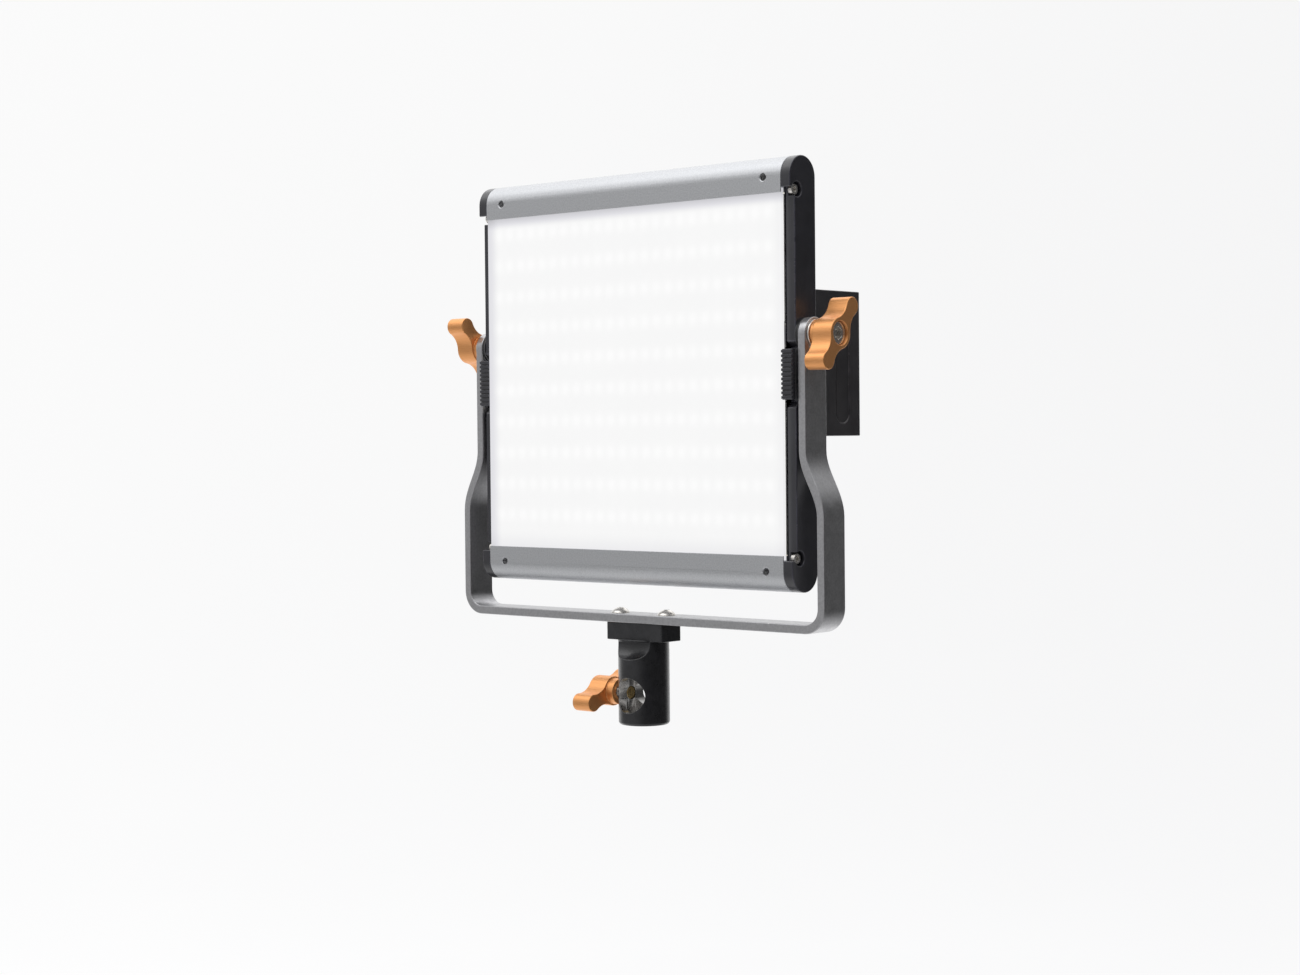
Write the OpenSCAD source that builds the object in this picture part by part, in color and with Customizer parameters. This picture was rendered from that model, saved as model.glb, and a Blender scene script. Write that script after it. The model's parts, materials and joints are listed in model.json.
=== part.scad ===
// LED panel light: a slim square panel in a U bracket on a stand receiver,
// with two slide-on battery packs and a control console on its back.
// Millimetres. Origin: mouth of the stand socket, on its axis. +Z up, the lit face looks to -Y.

/* [Panel] */
// Height of the panel over both rounded rails
panel_h = 190; // [180:1:196]
// Width of the panel over both side plates
panel_w = 191.2; // [188:0.2:192]
// Thickness of each side plate
side_t = 5.1; // [4.5:0.1:6]
// Thickness of the white diffuser sheet
diffuser_t = 1.6; // [1.2:0.1:1.6]
// Height of the panel's centre above the socket mouth
panel_mid_z = 159.4; // [159:0.1:162]

/* [Light emitting diodes] */
// Rows of one colour on the board
led_rows = 10; // [6:1:10]
// Distance between two rows of the same colour
led_row_pitch = 14.9; // [12:0.1:15]
// Length of a row
led_row_len = 168; // [120:1:168]

/* [Bracket] */
// Width of the flat bar, front to back
bar_w = 15; // [14:0.5:16]
// Thickness of the flat bar
bar_t = 4; // [3.5:0.1:4]
// Gap between the upper arms
arm_gap = 194.6; // [194.4:0.1:196]
// Gap between the lower arms
foot_gap = 213.6; // [205:0.1:220]
// Outer radius of the bracket's two bottom bends
bend_r = 11; // [8:0.5:14]
// Height of the tilt axis above the socket mouth
pivot_z = 176.7; // [170:0.1:180]

/* [Stand receiver] */
// Radius of the receiver's round body
receiver_r = 11.9; // [11.5:0.1:13]
// Radius of the socket for a 16 mm stud
socket_r = 8.15; // [8.1:0.05:8.3]
// Depth of the socket
socket_depth = 30; // [27:1:32]
// Height of the cross bore's axis above the mouth
cross_z = 13.9; // [13:0.1:15]

/* [Knobs] */
// Distance from the knob's axis to the centre of a wing tip
wing_reach = 14.6; // [13:0.1:16]
// Radius of a wing tip
wing_tip_r = 4; // [3:0.1:4.5]
// Radius of the knob's hub
knob_hub_r = 6.9; // [6.6:0.1:8]
// Depth of the wings along the axis
wing_depth = 10.4; // [8:0.1:12]
// Lean of the right tilt knob's upper wing towards the back, in degrees
right_lean = 36; // [0:1:60]
// Lean of the left tilt knob's upper wing towards the front, in degrees
left_lean = 42; // [0:1:60]
// Turn of the clamp knob's wing from upright towards the front, in degrees
clamp_lean = 108; // [60:1:150]

/* [Battery packs] */
// Width of a battery pack
pack_w = 38.4; // [36:0.1:39]
// Depth of a battery pack, front to back
pack_d = 60; // [58:0.5:62]
// Height of a battery pack
pack_h = 67; // [66:0.5:71]
// Distance of each pack's centre from the middle of the panel
pack_x = 50.2; // [49:0.1:52]

/* [Hidden] */
$fn = 96;
eps = 0.01;

// Panel section: front plane, back plane and the round ends' radius
panel_t = 18;
front_y = -10;
back_y = front_y + panel_t;
panel_y = (front_y + back_y) / 2;
end_r = panel_t / 2;
side_x = panel_w / 2;
rail_x = side_x - side_t;
lip_z = 78.7;
web_z = 81.6;
web_t = 1.2;
rail_wall = 1.6;
lip_t = 0.5;
groove_gap = 0.1;
sheet_leg_t = 1.1;
screw_leg_t = 1.25;
screw_leg_gap = 1.75;
board_leg_t = 1.2;
sheet_y = front_y + lip_t + groove_gap;
sheet_half_h = 80.7;
strip_y = front_y + 3.3;
cap_z = 80.9;
screw_y = -4.8;
screw_z = 80;
screw_recess = 3.4;
screw_recess_r = 3.3;
rail_screw_r = 1.55;
rail_screw_len = 9;
rail_screw_head_r = 2.3;
rail_screw_hole_r = 1.8;
rail_screw_hex_r = 1.2;
thumb_dimple_y = -3.6;
thumb_dimple_z = 1;
thumb_dimple_r = 3.2;
rail_hole_x = 80.6;
rail_hole_z = 86;
rail_hole_r = 1.6;
board_y = -1.5;
board_t = 1.6;
heat_t = 1.5;
board_x = 85.4;
board_half_h = 81.2;
cover_t = 2.1;
cover_y = back_y - cover_t;
cover_half_h = 78.5;

// M6 clamping screws and the small screws
m6_r = 3;
thread_gap = 0.04;
hinge_gap = 0.08;
insert_r = 4.2;
boss_r = 5.8;
boss_len = 5;
washer_r = 6.5;
washer_t = 1;
friction_washer_r = 7.4;
loose_hole_r = m6_r + 0.3;
collar_r = 6;
socket_head_r = 5;
socket_head_h = 6;
counterbore_r = 5.25;
counterbore_depth = 7.5;
hex_r = 2.9;
hex_depth = 3;

// Bracket outline
arm_x = arm_gap / 2;
foot_x = foot_gap / 2;
bar_z = 47;
joggle_low_z = 97.4;
joggle_high_z = 126.4;
joggle_steps = 14;

// Receiver flange
flange_w = 35;
flange_d = 13.5;
flange_h = 8.1;
flange_z = bar_z - flange_h;
scoop_r = 7.5;
scoop_z = flange_z - 1.3;
bracket_screw_x = 14.2;
bracket_screw_r = 2.5;
bracket_head_r = 4.35;
bracket_head_h = 2.6;
bracket_hex_r = 1.6;
receiver_chamfer = 1;

// Clamp knob: positions along X, outwards from the receiver
pad_face_x = -8.2;
pad_t = 2.1;
clamp_collar_x = -14.5;
clamp_collar_len = 4.1;

// Console on the back
console_w = 52;
console_low_z = panel_mid_z - 42;
console_high_z = panel_mid_z + 46;
console_d = 19;
console_wall = 2;
console_y = back_y + console_d;
dial_x = 12.5;
dial_z = panel_mid_z + 3;
dial_r = 8;
dial_h = 9;
display_z = panel_mid_z + 30;
display_w = 34;
display_h = 16;
switch_z = panel_mid_z - 24;
switch_w = 19;
switch_h = 13;

// Battery plates
plate_t = 8;
plate_y = back_y + plate_t;
pack_gap = 0.2;
pack_y = plate_y + pack_gap;
pack_z = panel_mid_z - 27;
plate_low = 9;
lid_t = 4;
pack_wall = 1;
cell_r = 9;
cell_len = 64;
hook_x = 14.5;
hook_len = 44;
button_r = 4;
button_z = pack_z - 4.6;

// ---- helpers ----

// A profile drawn in Y and Z, pushed along X from x0
module along_x(x0, len) {
  translate([x0, 0, 0]) rotate([90, 0, 90]) linear_extrude(len) children();
}

// A profile drawn in X and Z, pushed along Y from y0
module along_y(y0, len) {
  translate([0, y0 + len, 0]) rotate([90, 0, 0]) linear_extrude(len) children();
}

module rod_x(x0, len, r) {
  translate([x0, 0, 0]) rotate([0, 90, 0]) cylinder(r = r, h = len);
}

module rod_y(y0, len, r) {
  translate([0, y0, 0]) rotate([-90, 0, 0]) cylinder(r = r, h = len);
}

// A hexagonal key hole that opens towards +X, or towards +Y
module hex_hole(r) {
  rotate([0, 90, 0]) cylinder(r = r, h = 4, $fn = 6);
}

module hex_hole_y(r) {
  rotate([-90, 0, 0]) cylinder(r = r, h = 4, $fn = 6);
}

// A rectangle with round corners, centred
module round_rect(w, h, r) {
  square([w - 2 * r, h], center = true);
  square([w, h - 2 * r], center = true);
  for (x = [-1, 1], y = [-1, 1]) translate([x * (w / 2 - r), y * (h / 2 - r)]) circle(r);
}

module box(low, high) {
  translate(low) cube(high - low);
}

module both_sides() {
  children();
  mirror([1, 0, 0]) children();
}

// ---- bracket ----

function joggle_x(t) = arm_x + bar_t / 2 + (foot_x - arm_x) * (1 + cos(180 * t)) / 2;
function joggle_slope(t) =
  atan(-(foot_x - arm_x) * sin(180 * t) * 3.14159 / 2 / (joggle_high_z - joggle_low_z));
function joggle_point(t, side) = [
  joggle_x(t) + side * bar_t / 2 * cos(joggle_slope(t)),
  joggle_low_z + t * (joggle_high_z - joggle_low_z) - side * bar_t / 2 * sin(joggle_slope(t))
];

module joggle() {
  polygon(concat(
    [for (i = [0 : joggle_steps]) joggle_point(i / joggle_steps, 1)],
    [for (i = [joggle_steps : -1 : 0]) joggle_point(i / joggle_steps, -1)]
  ));
}

module half_bracket_outline() {
  bend_x = foot_x + bar_t - bend_r;
  translate([0, bar_z]) square([bend_x, bar_t]);
  translate([bend_x, bar_z + bend_r]) intersection() {
    difference() {
      circle(bend_r);
      circle(bend_r - bar_t);
    }
    translate([0, -bend_r]) square(bend_r);
  }
  translate([foot_x, bar_z + bend_r]) square([bar_t, joggle_low_z - bar_z - bend_r]);
  joggle();
  translate([arm_x, joggle_high_z]) square([bar_t, pivot_z - joggle_high_z]);
}

module u_bracket() {
  color("dimgray") difference() {
    union() {
      along_y(-bar_w / 2, bar_w) {
        half_bracket_outline();
        mirror([1, 0]) half_bracket_outline();
      }
      both_sides() translate([0, 0, pivot_z]) rod_x(arm_x, bar_t, bar_w / 2);
    }
    both_sides() translate([0, 0, pivot_z]) rod_x(arm_x - 1, bar_t + 2, m6_r + hinge_gap);
    for (x = [-1, 1]) translate([x * bracket_screw_x, 0, bar_z - 1]) {
      cylinder(r = bracket_screw_r + 0.1, h = bar_t + 2);
    }
  }
}

module stand_receiver() {
  color("black") difference() {
    union() {
      translate([0, 0, receiver_chamfer]) cylinder(r = receiver_r, h = flange_z - receiver_chamfer + eps);
      cylinder(r1 = receiver_r - 0.8, r2 = receiver_r, h = receiver_chamfer);
      translate([0, 0, flange_z]) linear_extrude(flange_h) round_rect(flange_w, flange_d, 1.5);
    }
    for (s = [-1, 1]) receiver_scoop(s);
    translate([0, 0, -1]) cylinder(r = socket_r, h = socket_depth + 1);
    translate([0, 0, cross_z]) rod_y(-receiver_r - 1, 2 * receiver_r + 2, socket_r);
    translate([0, 0, cross_z]) rod_x(-receiver_r - 1, receiver_r - 6, m6_r + thread_gap);
    for (x = [-1, 1]) translate([x * bracket_screw_x, 0, flange_z - 1]) {
      cylinder(r = bracket_screw_r + 0.02, h = flange_h + 2);
    }
  }
}

// A milled flat under the flange that runs out of the round body on a radius
module receiver_scoop(side) {
  flat_y = flange_d / 2;
  intersection() {
    union() {
      translate([-20, side > 0 ? flat_y : -flat_y - 10, scoop_z]) cube([40, 10, flange_z - scoop_z]);
      translate([0, side * (flat_y + scoop_r), scoop_z]) rod_x(-20, 40, scoop_r);
    }
    translate([-20, side > 0 ? flat_y : -flat_y - 10, 0]) cube([40, 10, flange_z]);
  }
}

module bracket_screws() {
  color("silver") for (x = [-1, 1]) translate([x * bracket_screw_x, 0, 0]) difference() {
    union() {
      translate([0, 0, flange_z + 0.5]) cylinder(r = bracket_screw_r, h = bar_z + bar_t - flange_z);
      translate([0, 0, bar_z + bar_t]) dome_head(bracket_head_r, bracket_head_h);
    }
    translate([0, 0, bar_z + bar_t + 1]) cylinder(r = bracket_hex_r, h = 3, $fn = 6);
  }
}

// A button head: a slice of a sphere on a flat seat
module dome_head(r, h) {
  ball_r = (r * r + h * h) / (2 * h);
  intersection() {
    translate([0, 0, h - ball_r]) sphere(ball_r);
    cylinder(r = r, h = h + 1);
  }
}

// ---- knobs ----

// Two wings on a hub, blended by hollow curves, drawn upright round the axis
module wing_profile() {
  blend_r = 9;
  reach = knob_hub_r + blend_r;
  tip_reach = wing_tip_r + blend_r;
  along = (reach * reach - tip_reach * tip_reach + wing_reach * wing_reach) / (2 * wing_reach);
  across = sqrt(reach * reach - along * along);
  foot = [across, along] * (knob_hub_r / reach);
  tip = [0, wing_reach] + ([across, along] - [0, wing_reach]) * (wing_tip_r / tip_reach);
  circle(knob_hub_r);
  for (turn = [0, 180]) rotate(turn) {
    translate([0, wing_reach]) circle(wing_tip_r);
    difference() {
      polygon([[0, 0], foot, [across, along], tip, [0, wing_reach], [-tip[0], tip[1]],
        [-across, along], [-foot[0], foot[1]]]);
      for (s = [-1, 1]) translate([s * across, along]) circle(blend_r);
    }
  }
}

// A knob whose collar starts at x = 0 and whose wings point outwards along +X
module knob_blank(collar_len, lean) {
  difference() {
    union() {
      rod_x(0, collar_len + eps, collar_r);
      along_x(collar_len, wing_depth) rotate(lean) wing_profile();
    }
    rod_x(-1, collar_len + wing_depth + 2, m6_r + 0.1);
    rod_x(collar_len + wing_depth - counterbore_depth, counterbore_depth + 1, counterbore_r);
  }
}

// The knob's cap screw, from its tip to the head that sits in the counterbore
module knob_bolt(tip_x, head_x) {
  difference() {
    union() {
      rod_x(tip_x, head_x - tip_x + eps, m6_r);
      rod_x(head_x, socket_head_h, socket_head_r);
    }
    translate([head_x + socket_head_h - hex_depth, 0, 0]) hex_hole(hex_r);
  }
}

tilt_collar_len = 2.1;
tilt_collar_x = arm_x + bar_t + washer_t + 0.2;
tilt_head_x = tilt_collar_x + tilt_collar_len + wing_depth - counterbore_depth;

module tilt_knob(lean) {
  color("darkorange") translate([tilt_collar_x, 0, pivot_z]) knob_blank(tilt_collar_len, lean);
}

module tilt_screw() {
  color("silver") translate([0, 0, pivot_z]) knob_bolt(side_x - side_t - boss_len + 1, tilt_head_x);
}

module knob_washer() {
  color("silver") translate([0, 0, pivot_z]) difference() {
    rod_x(arm_x + bar_t + 0.1, washer_t, washer_r);
    rod_x(arm_x, 20, loose_hole_r);
  }
}

module tilt_knob_right() { tilt_knob(-right_lean); }
module tilt_knob_left() { mirror([1, 0, 0]) tilt_knob(left_lean); }
module tilt_screw_right() { tilt_screw(); }
module tilt_screw_left() { mirror([1, 0, 0]) tilt_screw(); }
module knob_washer_right() { knob_washer(); }
module knob_washer_left() { mirror([1, 0, 0]) knob_washer(); }

module clamp_knob() {
  color("darkorange") translate([clamp_collar_x, 0, cross_z]) mirror([1, 0, 0]) {
    knob_blank(clamp_collar_len, clamp_lean);
  }
}

module clamp_screw() {
  tip = -(pad_face_x - pad_t - 0.1);
  head = -clamp_collar_x + clamp_collar_len + wing_depth - counterbore_depth;
  color("silver") translate([0, 0, cross_z]) mirror([1, 0, 0]) knob_bolt(tip, head);
}

module clamp_pad() {
  color("goldenrod") translate([0, 0, cross_z]) rod_x(pad_face_x - pad_t, pad_t, m6_r - 0.1);
}

// ---- panel frame ----

// A half-round end of the panel's section, above low_z and inset by the given depth
module rail_bulge(low_z, inset) {
  end_z = panel_h / 2 - end_r;
  difference() {
    union() {
      translate([panel_y, end_z]) circle(end_r - inset);
      translate([front_y + inset, low_z]) square([panel_t - 2 * inset, end_z - low_z]);
    }
    translate([front_y, 0]) square([panel_t, low_z]);
  }
}

// Section of the upper rail: a half-round hollow with legs that make the sheet and board grooves
module rail_section() {
  difference() {
    rail_bulge(web_z, 0);
    rail_bulge(web_z + web_t, rail_wall);
  }
  rail_leg(front_y, lip_t);
  rail_leg(sheet_y + diffuser_t + groove_gap, sheet_leg_t);
  rail_leg(screw_y + screw_leg_gap, screw_leg_t);
  rail_leg(board_y + board_t + heat_t + groove_gap, board_leg_t);
  rail_leg(back_y - rail_wall, rail_wall);
}

module rail_leg(y, t) {
  translate([y, lip_z]) square([t, web_z - lip_z + eps]);
}

// Two plain holes in the front wall, for accessories
module accessory_holes() {
  for (x = [-1, 1]) translate([x * rail_hole_x, 0, rail_hole_z]) {
    rod_y(front_y - 1, rail_wall + 2, rail_hole_r);
  }
}

module upper_rail() {
  difference() {
    along_x(-rail_x, 2 * rail_x) rail_section();
    accessory_holes();
  }
}

module top_rail() {
  color("silver") translate([0, 0, panel_mid_z]) upper_rail();
}

module bottom_rail() {
  color("silver") translate([0, 0, panel_mid_z]) mirror([0, 0, 1]) upper_rail();
}

module stadium() {
  translate([front_y, -panel_h / 2 + end_r]) square([panel_t, panel_h - 2 * end_r]);
  for (s = [-1, 1]) translate([panel_y, s * (panel_h / 2 - end_r)]) circle(end_r);
}

// Side plate outline: the strip between the two caps sits back, with a finger notch half way up
module side_outline() {
  notch_z = 14.4;
  notch_floor_z = 11.7;
  notch_y = strip_y + 2.7;
  difference() {
    stadium();
    translate([front_y - 1, -cap_z]) square([strip_y - front_y + 1, 2 * cap_z]);
    polygon([[strip_y - 1, notch_z + 1], [strip_y, notch_z], [notch_y, notch_floor_z],
      [notch_y, -notch_floor_z], [strip_y, -notch_z], [strip_y - 1, -notch_z - 1]]);
  }
}

module side_plate() {
  axis_z = pivot_z - panel_mid_z;
  color("black") translate([0, 0, panel_mid_z]) difference() {
    union() {
      along_x(rail_x, side_t) side_outline();
      translate([0, 0, axis_z]) rod_x(rail_x - boss_len, boss_len + eps, boss_r);
    }
    translate([0, 0, axis_z]) rod_x(rail_x - boss_len - 1, 20, insert_r + 0.02);
    for (s = [-1, 1]) translate([0, screw_y, s * screw_z]) {
      rod_x(rail_x - 1, 20, rail_screw_hole_r);
      rod_x(side_x - screw_recess, 10, screw_recess_r);
    }
    translate([0, thumb_dimple_y, thumb_dimple_z]) rod_x(side_x - 1, 5, thumb_dimple_r);
  }
}

module side_plate_right() { side_plate(); }
module side_plate_left() { mirror([1, 0, 0]) side_plate(); }

module rail_screws() {
  color("silver") both_sides() for (s = [-1, 1]) corner_screw(panel_mid_z + s * screw_z);
}

module corner_screw(z) {
  translate([0, screw_y, z]) difference() {
    union() {
      rod_x(rail_x - rail_screw_len, rail_screw_len + 1 + side_t - screw_recess, rail_screw_r);
      rod_x(side_x - screw_recess, 2, rail_screw_head_r);
    }
    translate([side_x - screw_recess + 0.8, 0, 0]) hex_hole(rail_screw_hex_r);
  }
}

// ---- light engine ----

module board_blank(y, t) {
  box([-board_x, y, panel_mid_z - board_half_h], [board_x, y + t, panel_mid_z + board_half_h]);
}

module led_board() {
  color("whitesmoke") difference() {
    board_blank(board_y, board_t);
    side_boss_relief();
  }
}

module heat_plate() {
  color("lightgray") difference() {
    board_blank(board_y + board_t, heat_t);
    side_boss_relief();
  }
}

// Clears the ends of the two pivot bosses
module side_boss_relief() {
  both_sides() translate([0, 0, pivot_z]) rod_x(rail_x - boss_len - 0.3, 10, boss_r + 0.5);
}

led_t = 0.8;
led_w = 2.8;

module led_rows(offset) {
  first_z = panel_mid_z + (led_rows - 0.5) * led_row_pitch / 2 + offset;
  for (i = [0 : led_rows - 1]) {
    translate([-led_row_len / 2, board_y - led_t, first_z - i * led_row_pitch - led_w / 2]) {
      cube([led_row_len, led_t, led_w]);
    }
  }
}

module cool_leds() {
  color("white") led_rows(0);
}

module warm_leds() {
  color("khaki") led_rows(-led_row_pitch / 2);
}

sheet_x = rail_x - 0.2;

// Sheet that slides out sideways between the rail lips
module diffuser_sheet() {
  color("white") box([-sheet_x, sheet_y, panel_mid_z - sheet_half_h],
    [sheet_x, sheet_y + diffuser_t, panel_mid_z + sheet_half_h]);
}

grip_h = 22;
grip_y = front_y - 0.4;
grip_side_x = side_x + 0.4;
rib_pitch = 2;
rib_h = 1.2;
rib_depth = 0.8;

module diffuser_grip() {
  grip_x = sheet_x;
  grip_back_y = sheet_y + diffuser_t;
  ribs = grip_h / rib_pitch;
  color("black") translate([0, 0, panel_mid_z - grip_h / 2]) {
    box([grip_x, grip_y + rib_depth, 0], [grip_side_x, grip_back_y, grip_h]);
    for (i = [0 : ribs - 1]) translate([0, 0, i * rib_pitch + (rib_pitch - rib_h) / 2]) {
      box([grip_x, grip_y, 0], [grip_side_x, grip_y + rib_depth + eps, rib_h]);
    }
  }
}

module diffuser_grip_right() { diffuser_grip(); }
module diffuser_grip_left() { mirror([1, 0, 0]) diffuser_grip(); }

// ---- back cover and console ----

cover_screw_x = [-80, 0, 80];
cover_screw_z = 73;
cover_screw_r = 1.25;
cover_head_t = 0.9;
cover_head_r = 2.3;
cover_hex_r = 0.9;
vent_x = [-48, 0, 48];
vent_len = 34;
vent_w = 2.4;
vent_z = 57;
vent_pitch = 5;
cable_window = [30, 40];

module slot_2d(len, w) {
  square([len - w, w], center = true);
  for (s = [-1, 1]) translate([s * (len - w) / 2, 0]) circle(w / 2);
}

module vents() {
  for (x = vent_x, row = [0 : 2], s = [-1, 1]) {
    translate([x, s * (vent_z + row * vent_pitch)]) slot_2d(vent_len, vent_w);
  }
}

module back_cover() {
  color("black") translate([0, 0, panel_mid_z]) difference() {
    along_y(cover_y, cover_t) square([2 * rail_x - 0.2, 2 * cover_half_h], center = true);
    along_y(cover_y - 1, cover_t + 2) vents();
    for (x = cover_screw_x, s = [-1, 1]) translate([x, 0, s * cover_screw_z]) {
      rod_y(cover_y - 1, 10, cover_screw_r + 0.05);
      rod_y(back_y - cover_head_t, 5, cover_head_r + 0.1);
    }
    along_y(cover_y - 1, cover_t + 2) square(cable_window, center = true);
    plate_screw_places(-panel_mid_z) rod_y(cover_y - 1, cover_t + 2, plate_screw_r + 0.1);
  }
}

module cover_screws() {
  color("silver") for (x = cover_screw_x, s = [-1, 1]) {
    translate([x, 0, panel_mid_z + s * cover_screw_z]) difference() {
      union() {
        rod_y(cover_y - 2.5, cover_t + 2, cover_screw_r);
        rod_y(back_y - cover_head_t, 0.8, cover_head_r);
      }
      translate([0, back_y - cover_head_t + 0.3, 0]) hex_hole_y(cover_hex_r);
    }
  }
}

console_mid_z = (console_low_z + console_high_z) / 2;
console_h = console_high_z - console_low_z;
console_corner_r = 4;
console_screw_x = console_w / 2 - 4;
console_screw_z = console_h / 2 - 4;
console_screw_r = 2.1;
screen_w = display_w - 4;
screen_h = display_h - 4;
shaft_r = 2;
collar_hole_r = 3.3;
dc_y = back_y + 10;
dc_body_r = 5;
dc_bore_r = 2.9;
dc_pin_r = 1.05;
driver_y = back_y + 3;
driver_t = 1.6;
driver_half_w = 22;

module console_housing() {
  color("black") difference() {
    translate([0, 0, console_mid_z]) along_y(back_y, console_d) {
      round_rect(console_w, console_h, console_corner_r);
    }
    translate([0, 0, console_mid_z]) along_y(back_y - 1, console_d - console_wall + 1) {
      round_rect(console_w - 2 * console_wall, console_h - 2 * console_wall,
        console_corner_r - console_wall);
    }
    translate([0, 0, display_z]) {
      along_y(console_y - 5, 10) square([screen_w, screen_h], center = true);
      along_y(console_y - 1, 5) square([display_w + 0.1, display_h + 0.1], center = true);
    }
    for (s = [-1, 1]) translate([s * dial_x, 0, dial_z]) rod_y(console_y - 5, 10, collar_hole_r);
    translate([0, 0, switch_z]) along_y(console_y - 5, 10) {
      square([switch_body_w + 0.1, switch_body_h + 0.1], center = true);
    }
    translate([0, dc_y, console_low_z - 1]) cylinder(r = dc_body_r + 0.02, h = 10);
    for (x = [-1, 1], z = [-1, 1]) {
      translate([x * console_screw_x, 0, console_mid_z + z * console_screw_z]) {
        rod_y(console_y - 1, 5, console_screw_r + 0.1);
      }
    }
  }
}

module console_screws() {
  color("silver") for (x = [-1, 1], z = [-1, 1]) {
    translate([x * console_screw_x, 0, console_mid_z + z * console_screw_z]) difference() {
      rod_y(console_y - 1, 0.8, console_screw_r);
      translate([0, console_y - 0.7, 0]) hex_hole_y(cover_hex_r);
    }
  }
}

module display_window() {
  color("dimgray") translate([0, 0, display_z]) along_y(console_y - 1, 0.9) {
    square([display_w, display_h], center = true);
  }
}

module display_module() {
  color("darkslategray") translate([0, 0, display_z]) along_y(console_y - 6, 3.9) {
    square([screen_w - 2, screen_h - 1], center = true);
  }
}

module driver_board() {
  color("darkgreen") box([-driver_half_w, driver_y, console_low_z + 22],
    [driver_half_w, driver_y + driver_t, console_high_z - 4]);
}

module dial_sensors() {
  color("gray") for (s = [-1, 1]) translate([s * dial_x, 0, dial_z]) difference() {
    union() {
      box([-5.5, driver_y + driver_t, -6], [5.5, console_y - console_wall - 0.1, 6]);
      rod_y(console_y - console_wall - 0.2, 3, collar_hole_r - 0.1);
    }
    rod_y(back_y + 8, 20, shaft_r + 0.05);
  }
}

module dial_shaft() {
  low_y = back_y + 8.2;
  color("silver") translate([dial_x, 0, dial_z]) rod_y(low_y, console_y + dial_h - 3 - low_y, shaft_r);
}

module dial() {
  flutes = 20;
  foot_y = console_y + 1.2;
  color("black") translate([dial_x, 0, dial_z]) difference() {
    rod_y(foot_y, dial_h, dial_r);
    for (i = [0 : flutes - 1]) rotate([0, i * 360 / flutes, 0]) translate([dial_r + 0.5, 0, 0]) {
      rod_y(foot_y + 1, dial_h, 0.95);
    }
    rod_y(console_y, dial_h - 3, shaft_r + 0.02);
    translate([0, foot_y + dial_h - 0.5, 0]) box([-0.5, 0, 3], [0.5, 1, 7]);
  }
}

module brightness_dial() { dial(); }
module colour_dial() { mirror([1, 0, 0]) dial(); }
module brightness_shaft() { dial_shaft(); }
module colour_shaft() { mirror([1, 0, 0]) dial_shaft(); }

rocker_axis_y = console_y - 1.5;
switch_body_w = switch_w - 4;
switch_body_h = switch_h - 4;
rocker_w = switch_w - 6.6;

module switch_frame() {
  color("black") translate([0, 0, switch_z]) difference() {
    union() {
      along_y(console_y, 1.4) round_rect(switch_w, switch_h, 1);
      along_y(console_y - 9, 9 + eps) square([switch_body_w, switch_body_h], center = true);
    }
    along_y(console_y - 6.5, 10) square([switch_body_w - 2, switch_body_h - 2], center = true);
  }
}

// Rocker: two faces that meet over its axle
module power_rocker() {
  half_h = (switch_body_h - 2) / 2 - 0.8;
  color("black") translate([0, 0, switch_z]) along_x(-rocker_w / 2, rocker_w) polygon([
    [rocker_axis_y - 2, -1.5], [console_y + 1.9, -half_h], [console_y + 1.5, 0],
    [console_y + 3.1, half_h], [rocker_axis_y - 2, 1.5]
  ]);
}

dc_bore_depth = 10;

module dc_socket() {
  color("dimgray") translate([0, dc_y, 0]) difference() {
    translate([0, 0, console_low_z + 0.2]) cylinder(r = dc_body_r, h = 13);
    translate([0, 0, console_low_z - 1]) cylinder(r = dc_bore_r, h = 1 + dc_bore_depth);
  }
}

module dc_pin() {
  color("gold") translate([0, dc_y, console_low_z + 1.2]) cylinder(r = dc_pin_r, h = dc_bore_depth - 1.2);
}

// ---- battery plates and packs ----

plate_screw_r = 1.5;
plate_screw_head_r = 2.9;
contact_x = [-6, 0, 6];
contact_low_z = pack_z + 20;
contact_high_z = contact_low_z + 7;
hook_neck = 1;
hook_head = 2;
groove_w = 10;
groove_depth = 0.4;

// The four screws of the right plate, raised by lift
module one_plate_screws(lift) {
  for (x = [-1, 1], z = [10, 58]) translate([pack_x + x * 8, 0, pack_z + z + lift]) children();
}

module plate_screw_places(lift) {
  both_sides() one_plate_screws(lift) children();
}

module plate_outline() {
  low = pack_z - plate_low;
  high = pack_z + pack_h;
  translate([0, (low + high) / 2]) round_rect(pack_w + 1.6, high - low, 3);
}

// Rail with a wide head, which the pack's grooved lid slides over
module hook_rail() {
  low = pack_z + 6;
  box([-hook_neck, plate_y - 1, low], [hook_neck, plate_y + 2.2, low + hook_len]);
  box([-hook_head, plate_y + 1.6, low], [hook_head, plate_y + 2.8, low + hook_len]);
}

module battery_plate() {
  color("black") translate([pack_x, 0, 0]) difference() {
    union() {
      along_y(back_y, plate_t) plate_outline();
      for (s = [-1, 1]) translate([s * hook_x, 0, 0]) hook_rail();
    }
    translate([0, 0, button_z]) rod_y(back_y + 2, plate_t, button_r + 0.25);
    translate([-pack_x, 0, 0]) one_plate_screws(0) {
      rod_y(back_y - 1, plate_t + 3, plate_screw_r + 0.1);
      rod_y(plate_y - 2, 5, plate_screw_head_r + 0.1);
    }
    for (x = contact_x) {
      box([x - 0.52, back_y + 2, contact_low_z], [x + 0.52, plate_y + 1, contact_high_z]);
    }
  }
}

module battery_plate_right() { battery_plate(); }
module battery_plate_left() { mirror([1, 0, 0]) battery_plate(); }

module battery_contacts() {
  color("goldenrod") both_sides() translate([pack_x, 0, 0]) for (x = contact_x) {
    box([x - 0.5, back_y + 2.2, contact_low_z + 0.1], [x + 0.5, plate_y + 2.4, contact_high_z - 0.1]);
  }
}

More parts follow.
